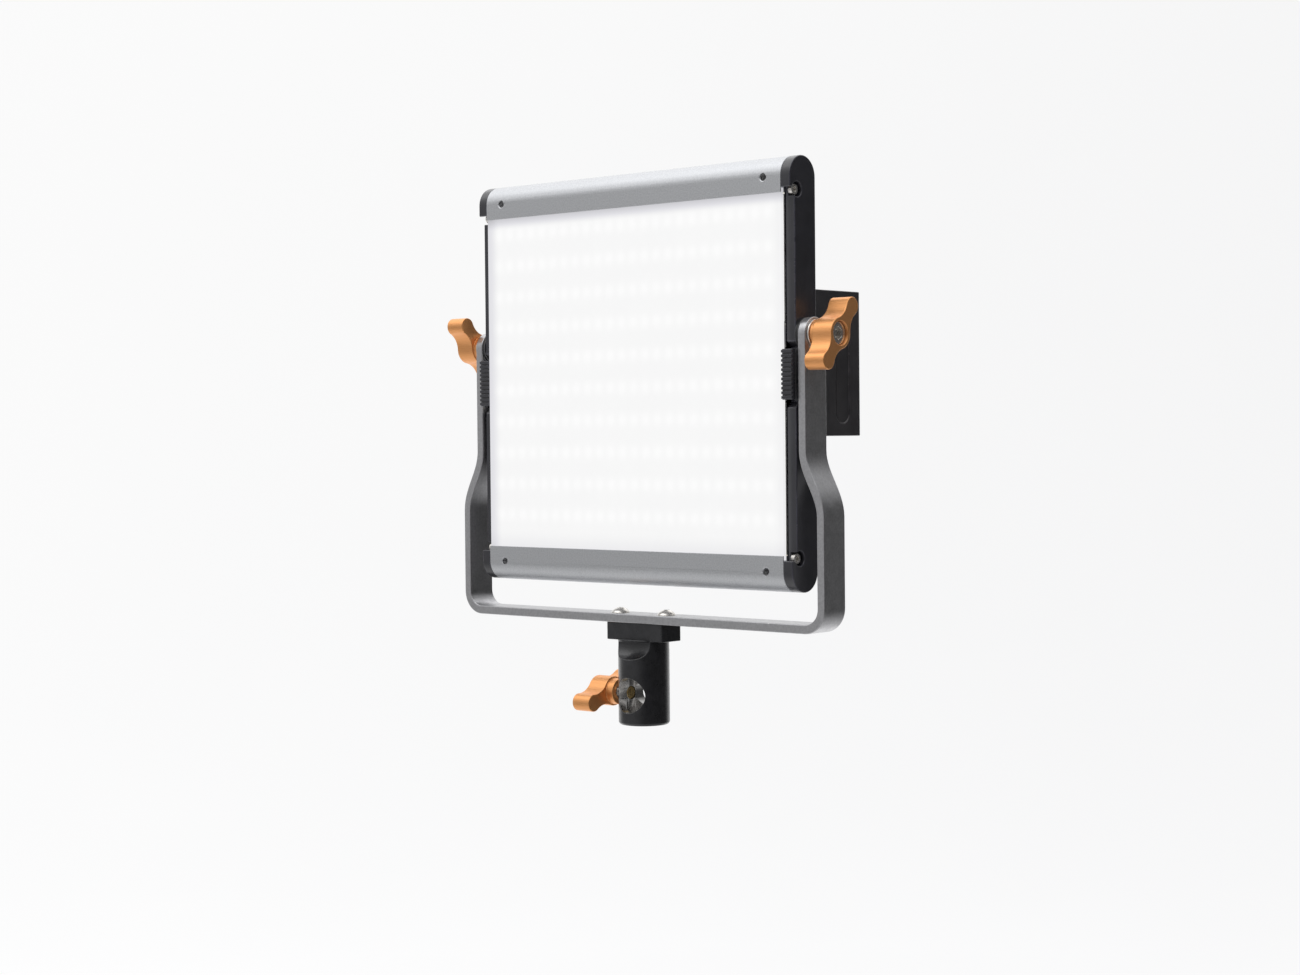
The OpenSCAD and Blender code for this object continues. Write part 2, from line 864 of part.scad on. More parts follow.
module plate_screws() {
  color("silver") plate_screw_places(0) difference() {
    union() {
      rod_y(cover_y - 2, plate_t + cover_t, plate_screw_r);
      rod_y(plate_y - 2, 1.7, plate_screw_head_r);
    }
    translate([0, plate_y - 1.2, 0]) hex_hole_y(1.1);
  }
}

module release_button() {
  color("dimgray") translate([pack_x, 0, button_z]) rod_y(plate_y - 3.5, 6, button_r);
}

module release_button_right() { release_button(); }
module release_button_left() { mirror([1, 0, 0]) release_button(); }

module pack_block(y, d) {
  translate([pack_x, y + d / 2, pack_z]) linear_extrude(pack_h) round_rect(pack_w, d, 1.6);
}

module pack_side_groove() {
  along_x(0, 10) translate([pack_y + pack_d - 14, pack_z + pack_h / 2]) rotate(90) {
    slot_2d(pack_h - 11.6, groove_w);
  }
}

module battery_case() {
  color("black") difference() {
    intersection() {
      pack_block(pack_y, pack_d);
      box([0, pack_y + lid_t, pack_z], [100, pack_y + pack_d, pack_z + pack_h]);
    }
    box([pack_x - pack_w / 2 + pack_wall, pack_y, pack_z + 1.4],
      [pack_x + pack_w / 2 - pack_wall, pack_y + pack_d - pack_wall, pack_z + pack_h - 1.4]);
    translate([pack_x + pack_w / 2 - groove_depth, 0, 0]) pack_side_groove();
    translate([pack_x - pack_w / 2 + groove_depth - 10, 0, 0]) pack_side_groove();
  }
}

module battery_lid() {
  color("black") difference() {
    intersection() {
      pack_block(pack_y, pack_d);
      box([0, pack_y, pack_z], [100, pack_y + lid_t, pack_z + pack_h]);
    }
    translate([pack_x, pack_y, pack_z - 1]) {
      for (s = [-1, 1]) translate([s * hook_x, 0, 0]) {
        box([-hook_neck - 0.3, -1, 0], [hook_neck + 0.3, 2, hook_len + 8]);
        box([-hook_head - 0.3, 1.1, 0], [hook_head + 0.3, 3, hook_len + 8]);
      }
      for (x = contact_x) box([x - 0.8, -1, 0], [x + 0.8, 2.6, 30]);
    }
  }
}

module battery_cells() {
  first_y = pack_y + lid_t + cell_r + 0.3;
  low_z = pack_z + (pack_h - cell_len) / 2;
  color("teal") for (x = [-1, 1], i = [0 : 2]) {
    translate([pack_x + x * (cell_r + 0.08), first_y + i * (2 * cell_r + 0.2), low_z]) {
      cylinder(r = cell_r, h = cell_len);
    }
  }
}

module battery_case_right() { battery_case(); }
module battery_case_left() { mirror([1, 0, 0]) battery_case(); }
module battery_lid_right() { battery_lid(); }
module battery_lid_left() { mirror([1, 0, 0]) battery_lid(); }
module battery_cells_right() { battery_cells(); }
module battery_cells_left() { mirror([1, 0, 0]) battery_cells(); }

// ---- tilt pivots ----

module pivot_inserts() {
  color("goldenrod") both_sides() translate([0, 0, pivot_z]) difference() {
    rod_x(rail_x - boss_len, boss_len + side_t - 0.1, insert_r);
    rod_x(rail_x - boss_len - 1, 20, m6_r + thread_gap);
  }
}

module friction_washers() {
  color("black") both_sides() translate([0, 0, pivot_z]) difference() {
    rod_x(side_x, arm_x - side_x - 0.1, friction_washer_r);
    rod_x(side_x - 1, 20, loose_hole_r);
  }
}

u_bracket();
stand_receiver();
bracket_screws();
clamp_pad();
clamp_knob();
clamp_screw();
top_rail();
bottom_rail();
side_plate_left();
side_plate_right();
rail_screws();
led_board();
cool_leds();
warm_leds();
heat_plate();
back_cover();
cover_screws();
console_housing();
console_screws();
display_window();
display_module();
driver_board();
dial_sensors();
switch_frame();
dc_socket();
dc_pin();
battery_plate_left();
battery_plate_right();
battery_contacts();
plate_screws();
pivot_inserts();
friction_washers();
knob_washer_left();
knob_washer_right();
tilt_knob_left();
tilt_knob_right();
tilt_screw_left();
tilt_screw_right();
diffuser_sheet();
diffuser_grip_left();
diffuser_grip_right();
brightness_dial();
brightness_shaft();
colour_dial();
colour_shaft();
power_rocker();
battery_case_left();
battery_case_right();
battery_lid_left();
battery_lid_right();
battery_cells_left();
battery_cells_right();
release_button_left();
release_button_right();
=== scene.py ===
"""LED panel light: the looks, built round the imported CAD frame.

Metres. +Z is up, the lit face looks to -Y, and the origin is the mouth of the stand socket.
Each CAD node is replaced by a copy with rounded edges and a procedural material. The collars
behind the rails' holes, the display's digits, the marks and the charge lamps are extra pieces.
"""

import json
import math

import bmesh
import bpy
from mathutils import Matrix, Vector


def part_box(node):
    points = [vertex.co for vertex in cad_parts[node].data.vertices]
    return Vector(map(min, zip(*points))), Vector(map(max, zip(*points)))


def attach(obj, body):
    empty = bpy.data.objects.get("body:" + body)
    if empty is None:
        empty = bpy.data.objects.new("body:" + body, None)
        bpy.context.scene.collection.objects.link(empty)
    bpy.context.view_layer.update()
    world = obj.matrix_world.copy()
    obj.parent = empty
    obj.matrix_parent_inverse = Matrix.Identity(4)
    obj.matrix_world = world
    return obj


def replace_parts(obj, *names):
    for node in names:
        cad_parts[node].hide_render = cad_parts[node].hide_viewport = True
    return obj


MM = 0.001

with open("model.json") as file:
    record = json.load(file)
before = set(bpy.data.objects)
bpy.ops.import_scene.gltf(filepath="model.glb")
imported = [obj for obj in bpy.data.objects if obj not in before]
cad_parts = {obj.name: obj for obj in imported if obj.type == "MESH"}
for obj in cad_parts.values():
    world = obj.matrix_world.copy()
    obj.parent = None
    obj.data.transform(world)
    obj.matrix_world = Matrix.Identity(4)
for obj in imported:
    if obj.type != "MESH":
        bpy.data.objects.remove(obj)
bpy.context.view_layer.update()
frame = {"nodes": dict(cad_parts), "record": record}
nodes = frame["nodes"]
record = frame["record"]
BODY_OF = {node: body for body, members in record["behaviour"]["bodies"].items() for node in members}
SLOT_OF = {part["node"]: part["material_slot"] for part in record["subparts"]}

# ---- camera, at the photograph's viewing angle ----

CAMERA_PLACE = Vector((0.7082, -0.7934, 0.1339))
CAMERA_AZIMUTH = math.radians(41.56)
CAMERA_PITCH = math.radians(-1.32)
CAMERA_ROLL = math.radians(-0.53)
SENSOR_WIDTH = 36.0
LENS = 63.7


def make_camera():
    data = bpy.data.cameras.new("camera")
    data.sensor_width = SENSOR_WIDTH
    data.lens = LENS
    data.clip_start = 0.01
    data.clip_end = 50
    camera = bpy.data.objects.new("camera", data)
    bpy.context.scene.collection.objects.link(camera)
    turn = Matrix.Rotation(CAMERA_AZIMUTH, 4, "Z")
    tip = Matrix.Rotation(math.pi / 2 + CAMERA_PITCH, 4, "X")
    roll = Matrix.Rotation(CAMERA_ROLL, 4, "Z")
    camera.matrix_world = Matrix.Translation(CAMERA_PLACE) @ turn @ tip @ roll
    bpy.context.scene.camera = camera


# ---- materials ----

# Spans that most of a noise's values lie in
MOST = (0.3, 0.7)
MIDDLE = (0.35, 0.65)


class Paint:
    """A Principled material, and short calls that add nodes to it.
    Numbers that are the same all over the surface are set on the shader's own sockets."""

    def __init__(self, name, **constants):
        self.material = bpy.data.materials.new(name)
        self.material.use_nodes = True
        self.tree = self.material.node_tree
        self.shader = self.tree.nodes["Principled BSDF"]
        for socket, value in constants.items():
            self.shader.inputs[socket.replace("_", " ")].default_value = value

    def add(self, kind, inputs=None, **settings):
        node = self.tree.nodes.new(kind)
        for name, value in settings.items():
            setattr(node, name, value)
        for key, value in (inputs or {}).items():
            self.feed(node.inputs[key], value)
        return node

    def feed(self, socket, value):
        if isinstance(value, bpy.types.NodeSocket):
            self.tree.links.new(value, socket)
        else:
            socket.default_value = value

    def set(self, socket, value):
        self.feed(self.shader.inputs[socket], value)
        return self

    def place(self):
        return self.add("ShaderNodeTexCoord").outputs["Object"]

    def axis(self, letter):
        return self.add("ShaderNodeSeparateXYZ", {0: self.place()}).outputs[letter]

    def noise(self, scale, detail=3.0, stretch=(1, 1, 1), rough=0.55):
        mapping = self.add("ShaderNodeMapping", {"Vector": self.place(), "Scale": stretch})
        inputs = {"Vector": mapping.outputs[0], "Scale": scale, "Detail": detail, "Roughness": rough}
        return self.add("ShaderNodeTexNoise", inputs).outputs["Fac"]

    def cells(self, scale):
        inputs = {"Vector": self.place(), "Scale": scale}
        return self.add("ShaderNodeTexVoronoi", inputs, feature="F1").outputs["Distance"]

    def math(self, operation, a, b=0.0, c=0.0):
        return self.add("ShaderNodeMath", {0: a, 1: b, 2: c}, operation=operation).outputs[0]

    def remap(self, value, from_low, from_high, to_low, to_high):
        inputs = {"Value": value, "From Min": from_low, "From Max": from_high}
        inputs.update({"To Min": to_low, "To Max": to_high})
        return self.add("ShaderNodeMapRange", inputs, interpolation_type="SMOOTHSTEP").outputs[0]

    def mix(self, factor, a, b):
        node = self.add("ShaderNodeMix", data_type="RGBA")
        self.feed(node.inputs["Factor"], factor)
        self.feed(node.inputs[6], a)
        self.feed(node.inputs[7], b)
        return node.outputs[2]

    def edge(self):
        """1 on the rounded edges that soften() made, 0 elsewhere."""
        return self.add("ShaderNodeAttribute", attribute_name="edge").outputs["Fac"]

    def bump(self, height, strength, depth):
        inputs = {"Height": height, "Strength": strength, "Distance": depth}
        return self.add("ShaderNodeBump", inputs).outputs[0]

    def mottle(self, dark, light, scale):
        """Base colour that wanders between two tones."""
        tone = self.remap(self.noise(scale), *MIDDLE, 0, 1)
        return self.set("Base Color", self.mix(tone, dark, light))

    def vary_roughness(self, low, high, scale):
        return self.set("Roughness", self.remap(self.noise(scale), *MOST, low, high))

    def grain(self, scale, strength, depth, **noise):
        return self.set("Normal", self.bump(self.noise(scale, **noise), strength, depth))


def bracket_paint():
    paint = Paint("bracket_paint", Metallic=0.85, IOR=1.5)
    tone = paint.remap(paint.noise(900, detail=6), *MOST, 0, 1)
    base = paint.mix(tone, (0.45, 0.45, 0.465, 1), (0.53, 0.53, 0.545, 1))
    worn = paint.math("MULTIPLY", paint.edge(), paint.remap(paint.noise(420, detail=4), 0.66, 0.72, 0, 1))
    paint.set("Base Color", paint.mix(worn, base, (0.78, 0.78, 0.77, 1)))
    paint.vary_roughness(0.28, 0.36, 260)
    return paint.grain(2600, 0.22, 0.05 * MM, detail=2)


def receiver_black():
    paint = Paint("receiver_black", Metallic=0.35, IOR=1.5, Coat_Weight=0.4, Coat_Roughness=0.18)
    paint.mottle((0.026, 0.026, 0.029, 1), (0.036, 0.036, 0.040, 1), 240)
    paint.vary_roughness(0.27, 0.36, 500)
    return paint.grain(3200, 0.15, 0.04 * MM)


def bore_metal():
    paint = Paint("bore_metal", Metallic=1.0)
    paint.mottle((0.50, 0.49, 0.48, 1), (0.62, 0.61, 0.60, 1), 300)
    return paint.vary_roughness(0.20, 0.30, 90)


def nickel():
    paint = Paint("nickel", Metallic=0.86, IOR=1.5)
    paint.mottle((0.72, 0.69, 0.65, 1), (0.86, 0.83, 0.79, 1), 500)
    paint.vary_roughness(0.18, 0.28, 900)
    return paint.grain(2400, 0.12, 0.03 * MM)


def brass():
    paint = Paint("brass", Metallic=1.0)
    paint.mottle((0.66, 0.46, 0.19, 1), (0.78, 0.58, 0.28, 1), 500)
    paint.vary_roughness(0.20, 0.34, 900)
    return paint.grain(2000, 0.15, 0.03 * MM)


def orange_anodised():
    paint = Paint("orange_anodised", Metallic=0.80, IOR=1.5)
    streak = paint.noise(260, detail=5, stretch=(1, 14, 14), rough=0.7)
    tone = paint.remap(streak, *MOST, 0, 1)
    paint.set("Base Color", paint.mix(tone, (0.84, 0.37, 0.13, 1), (0.96, 0.47, 0.19, 1)))
    paint.set("Roughness", paint.remap(streak, *MOST, 0.36, 0.48))
    return paint.set("Normal", paint.bump(streak, 0.25, 0.05 * MM))


def rail_aluminium():
    paint = Paint("rail_aluminium", Metallic=1.0)
    grain = paint.noise(1500, detail=6, rough=0.75)
    tone = paint.remap(grain, *MOST, 0, 1)
    paint.set("Base Color", paint.mix(tone, (0.50, 0.51, 0.53, 1), (0.66, 0.67, 0.69, 1)))
    paint.set("Roughness", paint.remap(grain, *MOST, 0.40, 0.52))
    return paint.set("Normal", paint.bump(grain, 0.30, 0.06 * MM))


def collar_aluminium():
    paint = Paint("collar_aluminium", Metallic=0.6, IOR=1.5)
    paint.mottle((0.80, 0.80, 0.81, 1), (0.90, 0.90, 0.91, 1), 900)
    return paint.vary_roughness(0.35, 0.5, 900)


def moulded_black(name, dark, light, rough, coat=0.0, edge_highlight_gain=2.6):
    """Black with a fine moulded grain. Its rounded edges are painted paler in broken dashes, a painted
    highlight, and are made a little smoother.
    """
    paint = Paint(name, IOR=1.5, Coat_Weight=coat, Coat_Roughness=0.22)
    tone = paint.mix(paint.remap(paint.noise(60, detail=5), *MIDDLE, 0, 1), dark, light)
    # Painted highlight: the rounded edges, broken up by noise, are painted a paler black.
    edge_highlight_colour = tuple(edge_highlight_gain * value for value in light[:3]) + (1,)
    edge_highlight = paint.math("MULTIPLY", paint.edge(), paint.remap(paint.noise(90), 0.3, 0.65, 0.2, 1.0))
    paint.set("Base Color", paint.mix(edge_highlight, tone, edge_highlight_colour))
    grain = paint.remap(paint.noise(180), *MOST, rough - 0.05, rough + 0.05)
    paint.set("Roughness", paint.math("SUBTRACT", grain, paint.math("MULTIPLY", edge_highlight, 0.10)))
    return paint.set("Normal", paint.bump(paint.cells(2600), 0.18, 0.04 * MM))


def black_plastic():
    return moulded_black("black_plastic", (0.019, 0.019, 0.025, 1), (0.027, 0.027, 0.035, 1), 0.36, coat=0.5)


def pack_plastic():
    return moulded_black("pack_plastic", (0.036, 0.034, 0.038, 1), (0.047, 0.045, 0.049, 1), 0.33, coat=0.5)


def dark_part():
    return moulded_black("dark_part", (0.045, 0.045, 0.05, 1), (0.06, 0.06, 0.066, 1), 0.40)


def rubber_black():
    # The grip's rib edges get a strong painted highlight.
    return moulded_black("rubber_black", (0.014, 0.014, 0.015, 1), (0.022, 0.022, 0.023, 1), 0.55, edge_highlight_gain=8)


def board_white():
    paint = Paint("board_white", IOR=1.5)
    paint.mottle((0.74, 0.75, 0.73, 1), (0.82, 0.83, 0.81, 1), 90)
    paint.vary_roughness(0.28, 0.40, 400)
    return paint.grain(1200, 0.1, 0.02 * MM)


def board_lit():
    """The board's front, white with the light that the diodes throw back on it."""
    paint = Paint("board_lit", IOR=1.5, Emission_Strength=0.62)
    paint.shader.inputs["Emission Color"].default_value = (1.0, 0.98, 0.95, 1)
    paint.mottle((0.66, 0.67, 0.65, 1), (0.74, 0.75, 0.73, 1), 90)
    paint.vary_roughness(0.28, 0.40, 400)
    return paint.grain(1200, 0.1, 0.02 * MM)


def board_green():
    paint = Paint("board_green", IOR=1.5)
    paint.mottle((0.010, 0.09, 0.035, 1), (0.020, 0.15, 0.06, 1), 160)
    paint.vary_roughness(0.25, 0.38, 400)
    return paint.grain(900, 0.15, 0.03 * MM)


def phosphor(name, dark, light, glow):
    paint = Paint(name, IOR=1.5, Emission_Strength=glow)
    paint.mottle(dark, light, 2500)
    paint.shader.inputs["Emission Color"].default_value = light
    paint.vary_roughness(0.35, 0.5, 3000)
    return paint.grain(5000, 0.2, 0.03 * MM)


def cool_phosphor():
    return phosphor("cool_phosphor", (0.80, 0.68, 0.22, 1), (0.95, 0.86, 0.45, 1), 0.6)


def warm_phosphor():
    """The warm diodes are off."""
    return phosphor("warm_phosphor", (0.78, 0.42, 0.08, 1), (0.88, 0.52, 0.14, 1), 0.0)


def plain_aluminium():
    paint = Paint("plain_aluminium", Metallic=1.0)
    streak = paint.noise(60, detail=5, stretch=(1, 1, 20))
    paint.set("Base Color", paint.mix(streak, (0.55, 0.55, 0.55, 1), (0.74, 0.74, 0.74, 1)))
    paint.set("Roughness", paint.remap(streak, *MOST, 0.25, 0.42))
    return paint.set("Normal", paint.bump(streak, 0.2, 0.04 * MM))


def display_glass():
    paint = Paint("display_glass", IOR=1.5, Coat_Weight=0.6, Coat_Roughness=0.04)
    paint.mottle((0.008, 0.010, 0.013, 1), (0.014, 0.017, 0.021, 1), 70)
    paint.vary_roughness(0.06, 0.14, 300)
    return paint.grain(500, 0.03, 0.02 * MM)


def cell_wrap():
    paint = Paint("cell_wrap", IOR=1.45)
    paint.mottle((0.02, 0.16, 0.19, 1), (0.04, 0.25, 0.28, 1), 200)
    paint.vary_roughness(0.18, 0.30, 500)
    return paint.grain(350, 0.3, 0.08 * MM, stretch=(1, 1, 4))


def mark_white():
    paint = Paint("mark_white", IOR=1.5)
    paint.mottle((0.62, 0.62, 0.61, 1), (0.72, 0.72, 0.71, 1), 1500)
    paint.vary_roughness(0.45, 0.6, 2000)
    return paint.grain(4000, 0.1, 0.02 * MM)


def digit_glow():
    paint = Paint("digit_glow", IOR=1.5, Emission_Strength=0.75)
    paint.shader.inputs["Emission Color"].default_value = (0.55, 0.85, 1.0, 1)
    paint.mottle((0.35, 0.55, 0.62, 1), (0.40, 0.62, 0.70, 1), 2500)
    paint.vary_roughness(0.4, 0.5, 2000)
    return paint


DIODE_PITCH = 7.2 * MM
DIODE_COLUMNS = 24
ROW_PITCH = 14.9 * MM
ROW_COUNT = 10

# The diffuser's glow: its own level, the dots' share on top, and how much of a dot is its row's band
GLOW_LEVEL = 0.890
DOT_LEVEL = 0.042
BAND_SHARE = 0.35
BAND_SHARPNESS = 2.2


def diffuser_white():
    """A milky sheet, lit from behind: an even glow, faint dots over the diodes, and dimmer rims where the
    diodes stop, with a painted shadow under the top rail's lip.
    """
    low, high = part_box("diffuser_sheet")
    mid_z = (low.z + high.z) / 2
    paint = Paint("diffuser_white", IOR=1.49, Emission_Strength=1.0)
    x, z = paint.axis("X"), paint.math("SUBTRACT", paint.axis("Z"), mid_z)

    def times(first, *others):
        for other in others:
            first = paint.math("MULTIPLY", first, other)
        return first

    def ripple(value, pitch, shift):
        """1 over the centre of each diode, 0 half a pitch away."""
        turns = times(paint.math("ADD", value, shift), 2 * math.pi / pitch)
        return paint.math("MULTIPLY_ADD", paint.math("COSINE", turns), 0.5, 0.5)

    columns = ripple(x, DIODE_PITCH, DIODE_PITCH / 2)
    rows = ripple(z, ROW_PITCH, -ROW_PITCH * (ROW_COUNT - 0.5) / 2)
    bands = paint.math("POWER", rows, BAND_SHARPNESS)
    spots = paint.math("MULTIPLY_ADD", columns, 1 - BAND_SHARE, BAND_SHARE)
    half_field = DIODE_PITCH * DIODE_COLUMNS / 2
    inside = paint.remap(paint.math("ABSOLUTE", x), half_field, half_field + 1.5 * MM, 1, 0)
    above = paint.remap(z, -73 * MM, -70 * MM, 0, 1)
    dots = times(spots, bands, inside, above)

    # The rims glow less where the diodes stop; the deeper dimming at the top is also a painted shadow of the
    # top rail's lip.
    top = paint.remap(z, 73 * MM, 79.5 * MM, 1.0, 0.66)
    bottom = paint.remap(z, -80 * MM, -70 * MM, 0.92, 1.0)
    left = paint.remap(x, -89.5 * MM, -82 * MM, 0.84, 1.0)
    right = paint.remap(x, 84 * MM, 89.5 * MM, 1.0, 0.97)
    cloudy = paint.remap(paint.noise(45, detail=2), *MOST, 0.992, 1.0)
    even = times(top, bottom, left, right, cloudy)
    level = paint.math("ADD", times(even, GLOW_LEVEL), times(dots, DOT_LEVEL))

    rim = paint.remap(level, 0.70, 0.90, 0, 1)
    tint = paint.mix(rim, (0.955, 0.95, 1.0, 1), (1.0, 1.0, 1.0, 1))
    bright = paint.add("ShaderNodeVectorMath", {0: tint}, operation="SCALE")
    paint.feed(bright.inputs["Scale"], level)
    paint.set("Emission Color", bright.outputs[0])
    paint.mottle((0.035, 0.035, 0.036, 1), (0.04, 0.04, 0.04, 1), 300)
    paint.vary_roughness(0.50, 0.60, 700)
    return paint.grain(2500, 0.06, 0.02 * MM)


PAINTS = (
    bracket_paint, receiver_black, nickel, brass, orange_anodised, rail_aluminium, collar_aluminium,
    black_plastic, pack_plastic, rubber_black, board_white, board_lit, board_green, plain_aluminium,
    display_glass, dark_part, cell_wrap, diffuser_white, bore_metal, mark_white, digit_glow,
    cool_phosphor, warm_phosphor,
)
MATERIALS = {make.__name__: make().material for make in PAINTS}

# ---- mesh helpers ----

WELD = 2e-6
FLAT_ANGLE = math.radians(0.4)
SHARP_ANGLE = math.radians(28)
SHADE_ANGLE = math.radians(45)


def soften(bm, width, segments=3):
    """Rounds every sharp edge, and marks the new faces so that a material can find the edges."""
    mark = bm.faces.layers.float.get("edge") or bm.faces.layers.float.new("edge")
    sharp = [e for e in bm.edges if len(e.link_faces) == 2 and e.calc_face_angle(0) > SHARP_ANGLE]
    if not sharp:
        return
    made = bmesh.ops.bevel(
        bm, geom=sharp, offset=width, offset_type="OFFSET", segments=segments,
        profile=0.5, affect="EDGES", clamp_overlap=False,
    )
    for face in made["faces"]:
        face[mark] = 1.0


def finish_piece(bm, name, body, slot, materials):
    """Turns a bmesh into a shown piece that rides on its body."""
    bmesh.ops.recalc_face_normals(bm, faces=bm.faces)
    mesh = bpy.data.meshes.new(name)
    for face in bm.faces:
        face.smooth = True
    bm.to_mesh(mesh)
    bm.free()
    mesh.set_sharp_from_angle(angle=SHADE_ANGLE)
    for material in materials:
        mesh.materials.append(MATERIALS[material])
    piece = bpy.data.objects.new(name, mesh)
    bpy.context.scene.collection.objects.link(piece)
    even = piece.modifiers.new("even_normals", "WEIGHTED_NORMAL")
    even.keep_sharp = True
    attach(piece, body)
    return piece


def cad_mesh(node):
    """A CAD node's shape, welded and with its flat faces joined up."""
    bm = bmesh.new()
    bm.from_mesh(nodes[node].data)
    for face in bm.faces:
        face.material_index = 0
    bmesh.ops.remove_doubles(bm, verts=bm.verts, dist=WELD)
    bmesh.ops.dissolve_limit(bm, angle_limit=FLAT_ANGLE, verts=bm.verts, edges=bm.edges)
    return bm


def countersink_front_holes(bm):
    """Opens the rims of the round holes in the rail's front wall."""
    flat, longest, reach, opening = 0.01 * MM, 1.2 * MM, 2 * MM, 0.45 * MM
    front = min(v.co.y for v in bm.verts)
    rims = [
        e for e in bm.edges
        if all(abs(v.co.y - front) < flat for v in e.verts) and e.calc_length() < longest
        and abs(abs((e.verts[0].co.x + e.verts[1].co.x) / 2) - HOLE_X) < reach
    ]
    bmesh.ops.bevel(bm, geom=rims, offset=opening, segments=1, affect="EDGES", clamp_overlap=False)


def rounded(node, width, repaint=None, first=None):
    """A piece that stands for a CAD node: the same shape with rounded edges.
    repaint is (material, test): faces whose centre passes the test take that material.
    first, if given, works on the mesh before its edges are rounded."""
    bm = cad_mesh(node)
    if first:
        first(bm)
    soften(bm, width)
    materials = [SLOT_OF[node]]
    if repaint:
        materials.append(repaint[0])
        for face in bm.faces:
            face.material_index = int(repaint[1](face))
    piece = finish_piece(bm, node + "_shape", BODY_OF[node], SLOT_OF[node], materials)
    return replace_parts(piece, node)


def add_block(bm, low, high, width=0.0, material=0):
    """A box with rounded edges."""
    low, high = Vector(low), Vector(high)
    part = bmesh.new()
    bmesh.ops.create_cube(part, size=1)
    for v in part.verts:
        v.co = Vector((a + (b - a) * (c + 0.5) for a, b, c in zip(low, high, v.co)))
    if width:
        soften(part, width, 2)
    merge(bm, part, material)


def merge(bm, part, material=0):
    """Adds one bmesh to another, in the given material slot."""
    for face in part.faces:
        face.material_index = material
    mesh = bpy.data.meshes.new("merge")
    part.to_mesh(mesh)
    part.free()
    bm.from_mesh(mesh)
    bpy.data.meshes.remove(mesh)


def bridge(bm, rings):
    """Faces between each ring of vertices and the next. A ring of one vertex is a tip."""
    for first, second in zip(rings, rings[1:]):
        for i in range(max(len(first), len(second))):
            corners = [first[i % len(first)], first[(i + 1) % len(first)]]
            corners += [second[(i + 1) % len(second)], second[i % len(second)]]
            bm.faces.new(list(dict.fromkeys(corners)))


def turned(profile, sides, place):
    """A bmesh turned from a list of (along, radius). place puts (along, across, across) in X, Y, Z."""
    bm = bmesh.new()
    rings = []
    for along, radius in profile:
        turns = [2 * math.pi * i / sides for i in range(sides if radius else 1)]
        points = [place(along, radius * math.cos(a), radius * math.sin(a)) for a in turns]
        rings.append([bm.verts.new(point) for point in points])
    bridge(bm, rings)
    return bm


def lathe(profile, sides):
    """A closed solid turned round X. profile is a list of (x, radius), from one end to the other."""
    return turned(profile, sides, lambda x, y, z: (x, y, z))


def add_ring(bm, outer, inner, height, sides=32):
    """A flat ring round Y that stands on y = 0."""
    rings = []
    for radius, y in ((outer, 0), (outer, height), (inner, height), (inner, 0)):
        turns = [2 * math.pi * i / sides for i in range(sides)]
        rings.append([bm.verts.new((radius * math.cos(a), y, radius * math.sin(a))) for a in turns])
    bridge(bm, rings + rings[:1])


# Both as a share of the thread's pitch
THREAD_DEPTH = 0.61
THREAD_CHAMFER = 0.35


def threaded_rod(start, end, radius, pitch, sides=40, steps=8):
    """A rod along X with a thread cut into it, plain and chamfered at both ends.
    steps is how many rings of vertices one turn of the thread has."""
    count = round((end - start) / pitch * steps)
    bm = bmesh.new()
    rings = []
    for i in range(count + 1):
        x = start + (end - start) * i / count
        fade = min(1.0, min(i, count - i) / steps)
        chamfer = THREAD_CHAMFER * pitch if i in (0, count) else 0
        ring = []
        for k in range(sides):
            turn = k / sides
            tooth = abs(((x / pitch - turn) % 1.0) * 2 - 1)
            r = radius - THREAD_DEPTH * pitch * tooth * fade - chamfer
            a = 2 * math.pi * turn
            ring.append(bm.verts.new((x, r * math.cos(a), r * math.sin(a))))
        rings.append(ring)
    bridge(bm, rings)
    bm.faces.new(rings[0])
    bm.faces.new(rings[-1])
    return bm


# ---- stage and light ----


def make_backdrop():
    """A pale floor that sweeps up into a round wall. Only the camera sees it, so it blocks no light."""
    floor_z, radius, sweep, height, sides, sweep_steps = -0.55, 3.2, 1.2, 3.0, 96, 12
    profile = [(floor_z, 0.0), (floor_z, radius - sweep)]
    for i in range(1, sweep_steps + 1):
        a = math.pi / 2 * i / sweep_steps
        profile.append((floor_z + sweep - sweep * math.cos(a), radius - sweep + sweep * math.sin(a)))
    profile.append((floor_z + height, radius))
    bm = turned(profile, sides, lambda z, x, y: (x, y, z))
    mesh = bpy.data.meshes.new("backdrop")
    for face in bm.faces:
        face.smooth = True
    bm.to_mesh(mesh)
    bm.free()
    paint = Paint("backdrop_paper", Roughness=0.9, Emission_Strength=0.905)
    # Painted shade: the backdrop's glow dims gradually towards +X, +Y and down.
    towards_painted_shade = (0.55, 0.45, -0.60)
    across = paint.add("ShaderNodeVectorMath", {0: paint.place(), 1: towards_painted_shade}, operation="DOT_PRODUCT")
    fade = paint.remap(across.outputs["Value"], -1.6, 1.3, 0, 1)
    paint.set("Emission Color", paint.mix(fade, (1.04, 1.04, 1.04, 1), (0.965, 0.965, 0.970, 1)))
    paint.mottle((0.030, 0.030, 0.031, 1), (0.034, 0.034, 0.035, 1), 3)
    mesh.materials.append(paint.material)
    backdrop = bpy.data.objects.new("backdrop", mesh)
    bpy.context.scene.collection.objects.link(backdrop)
    for ray in ("visible_diffuse", "visible_glossy", "visible_transmission", "visible_shadow"):
        setattr(backdrop, ray, False)


# The studio's light by direction: where it comes from, the two cosines that it fades in between, its level
STUDIO = (
    ((0, 0, 1), 0.25, 0.80, 0.95),  # bright ceiling
    ((-0.55, -0.62, 0.56), 0.75, 0.95, 0.25),  # glint, high at the front left
    ((-0.66, 0.75, 0), 0.35, 0.88, 0.90),  # white set, back left
    ((-0.66, -0.75, 0), 0.0, 0.75, 0.31),  # grey set, front left
    ((0, 0, -1), 0.20, 0.70, 0.50),  # pale floor
)
ROOM_LEVEL = 0.05


